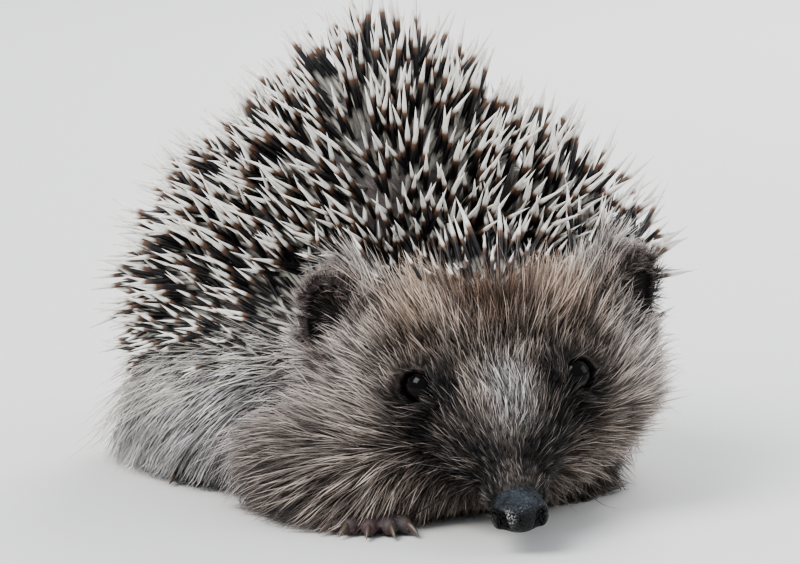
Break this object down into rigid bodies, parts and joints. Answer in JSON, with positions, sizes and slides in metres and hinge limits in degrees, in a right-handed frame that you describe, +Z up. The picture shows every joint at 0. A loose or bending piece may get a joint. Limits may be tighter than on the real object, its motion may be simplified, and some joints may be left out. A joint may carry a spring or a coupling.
{
  "type": "hedgehog",
  "caption": "Young European hedgehog, crouched with its head lowered and turned: a still, life-size model that stands on four feet.",
  "frame": {"origin": "middle of the model's box, on the ground it stands on", "axes": "+Z up, the trunk looks along -Y, +X is the animal's left side"},
  "size_m": [0.0894, 0.13, 0.0852],
  "materials": {
    "quill": "smooth keratin, dark band and cream tip",
    "hair": "coarse dry hair, grey-brown",
    "skin": "bare skin, matt",
    "nose": "moist, finely pebbled",
    "eye": "wet, polished",
    "claw": "horn, satin"
  },
  "bodies": {
    "root": {"mantle": "quill", "trunk": "hair", "tail": "skin", "neck": "hair", "head": "hair", "muzzle": "hair", "jaw": "hair", "nose": "nose", "eye_left": "eye", "eye_right": "eye", "ear_left": "skin", "ear_right": "skin", "foreleg_right": "hair", "forefoot_right": "skin", "foreleg_left": "hair", "forefoot_left": "skin", "hindleg_right": "hair", "hindfoot_right": "skin", "hindleg_left": "hair", "hindfoot_left": "skin"}
  },
  "joints": []
}
